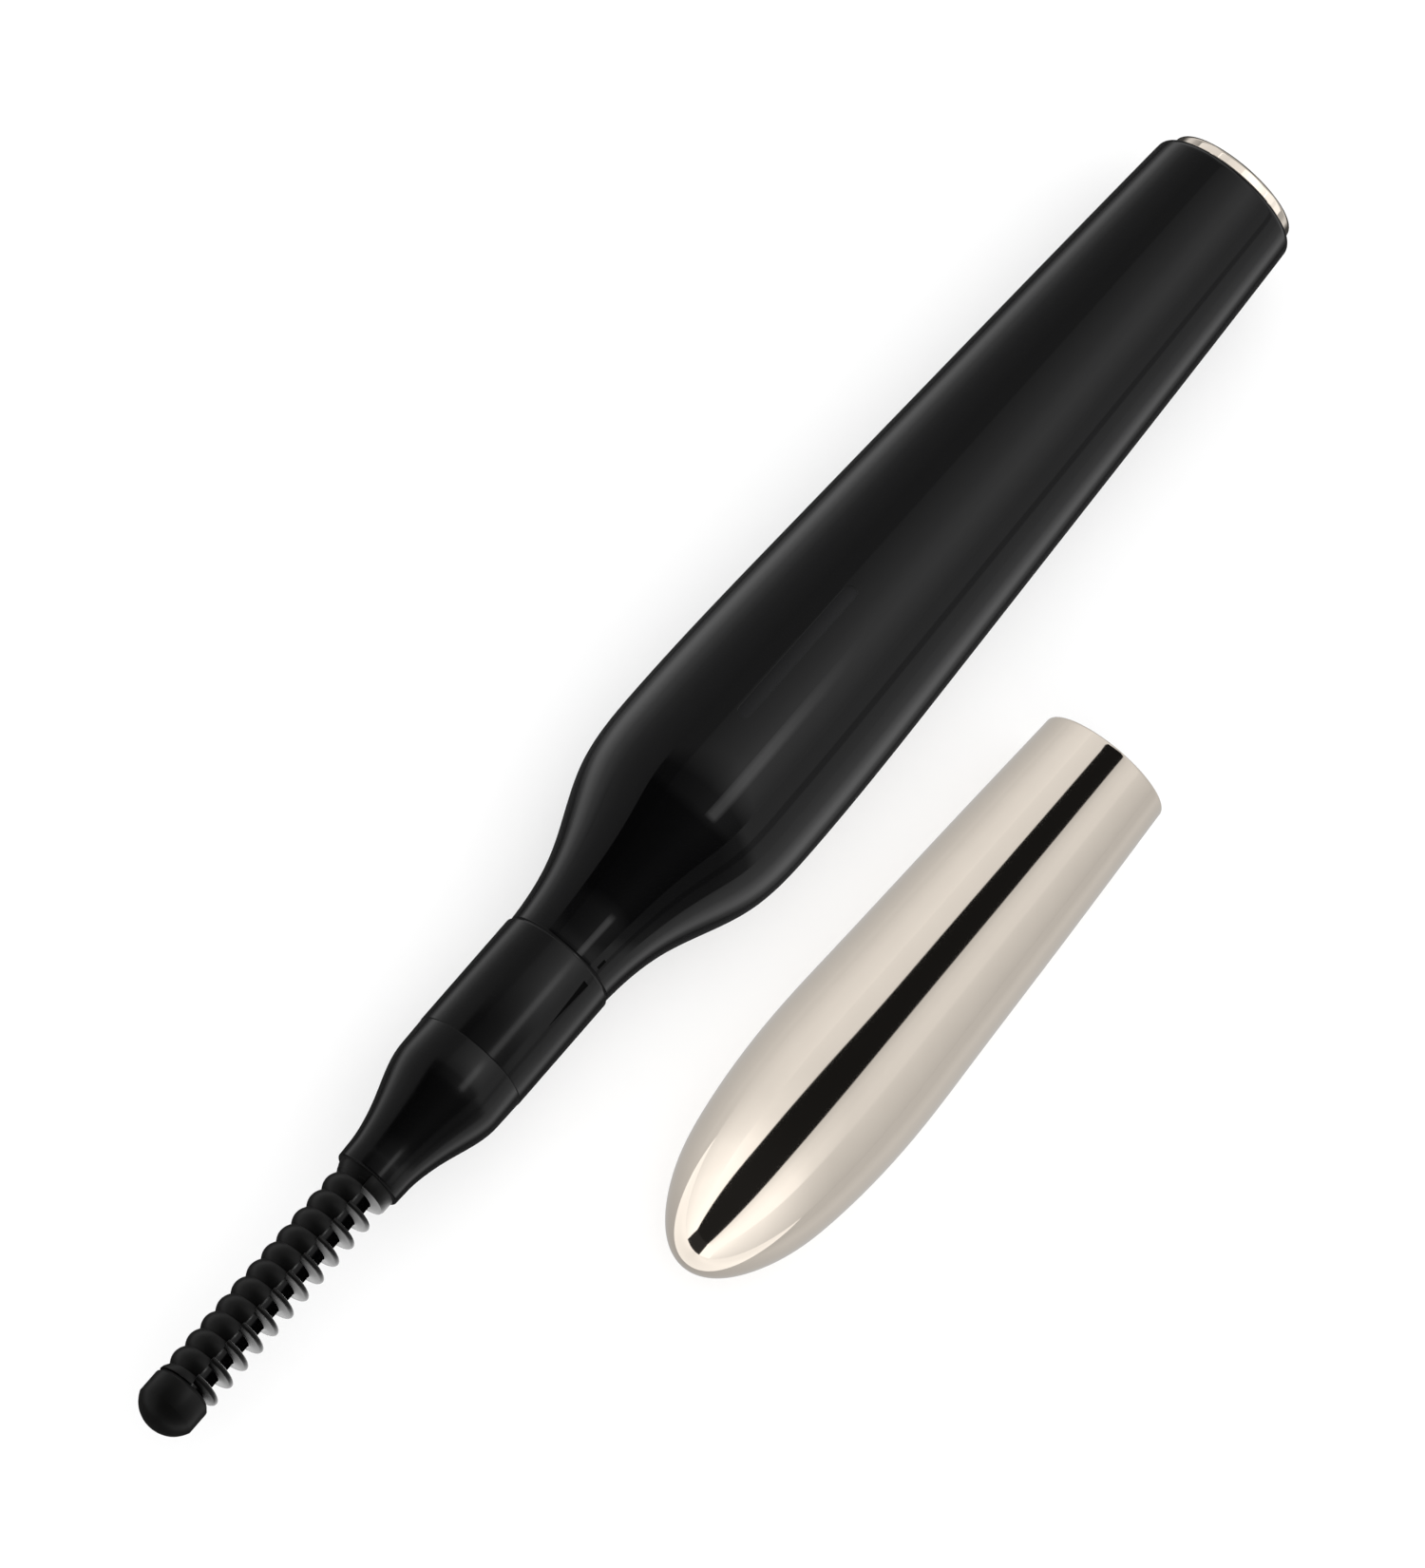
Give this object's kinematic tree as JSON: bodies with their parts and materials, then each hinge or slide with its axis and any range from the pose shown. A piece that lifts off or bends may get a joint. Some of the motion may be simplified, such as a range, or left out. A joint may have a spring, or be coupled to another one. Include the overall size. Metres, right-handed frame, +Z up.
{
  "type": "heated eyelash curler",
  "caption": "Slim battery pen with a twisting head that ends in a warmed comb of thin fins, a bayonet tail cap and a loose slip-on metal cap.",
  "frame": {"origin": "bottom centre of the pen and the cap beside it, on the plane both lie on", "axes": "+X along the pen from its tail to its comb tip, +Z up, the cap on the +Y side"},
  "size_m": [0.1578, 0.0464, 0.022],
  "materials": {
    "piano_black": "high-gloss lacquered black moulding",
    "semi_gloss_black": "semi-gloss black moulding",
    "satin_black": "satin black heat-resistant moulding",
    "heater_black": "black anodised tube",
    "champagne_metal": "polished champagne anodised aluminium",
    "liner_black": "satin black sleeve",
    "smoked_window": "matt smoked grey inlay",
    "clear_plastic": "clear acrylic",
    "led_white": "white package",
    "natural_plastic": "unpainted off-white moulding",
    "board_green": "green solder mask",
    "chip_black": "matt black packages",
    "brass_strip": "bright brass",
    "spring_steel": "nickel-plated wire",
    "cell_can": "plain bright metal can",
    "ceramic_white": "unglazed white ceramic",
    "lead_insulation": "silicone insulation"
  },
  "bodies": {
    "handle": {"handle_top_shell": "piano_black", "handle_bottom_shell": "piano_black", "status_window": "smoked_window", "light_pipe": "clear_plastic", "status_led": "led_white", "battery_tube": "natural_plastic", "return_strip": "brass_strip", "battery_cell": "cell_can", "battery_plus_contact": "brass_strip", "inner_chassis": "natural_plastic", "control_board": "board_green", "board_components": "chip_black", "switch_base": "satin_black", "switch_contacts": "brass_strip"},
    "tail_cap": {"tail_cap": "champagne_metal", "tail_plug": "satin_black", "battery_spring": "spring_steel"},
    "head": {"head_collar": "semi_gloss_black", "nose_cone": "semi_gloss_black", "comb_guard": "satin_black", "comb_tip": "satin_black", "heater_tube": "heater_black", "ceramic_core": "ceramic_white", "heater_coil": "spring_steel", "switch_rotor": "satin_black", "switch_wiper": "brass_strip", "heater_leads": "lead_insulation", "thermal_cutoff": "cell_can"},
    "cap": {"cap_shell": "champagne_metal", "cap_liner": "liner_black"}
  },
  "joints": [
    {"name": "head_twist", "type": "hinge", "parent": "handle", "child": "head", "pos_m": [0.02025, -0.01217, 0.011], "axis": [1, 0, 0], "range_deg": [0, 45]},
    {"name": "tail_cap_turn", "type": "hinge", "parent": "handle", "child": "tail_cap", "pos_m": [-0.07585, -0.01217, 0.011], "axis": [1, 0, 0], "range_deg": [0, 60]},
    {"name": "cap_slide", "type": "slide", "parent": "handle", "child": "cap", "axis": [0.9999, 0.014, 0], "range_m": [0, 0.06]}
  ]
}
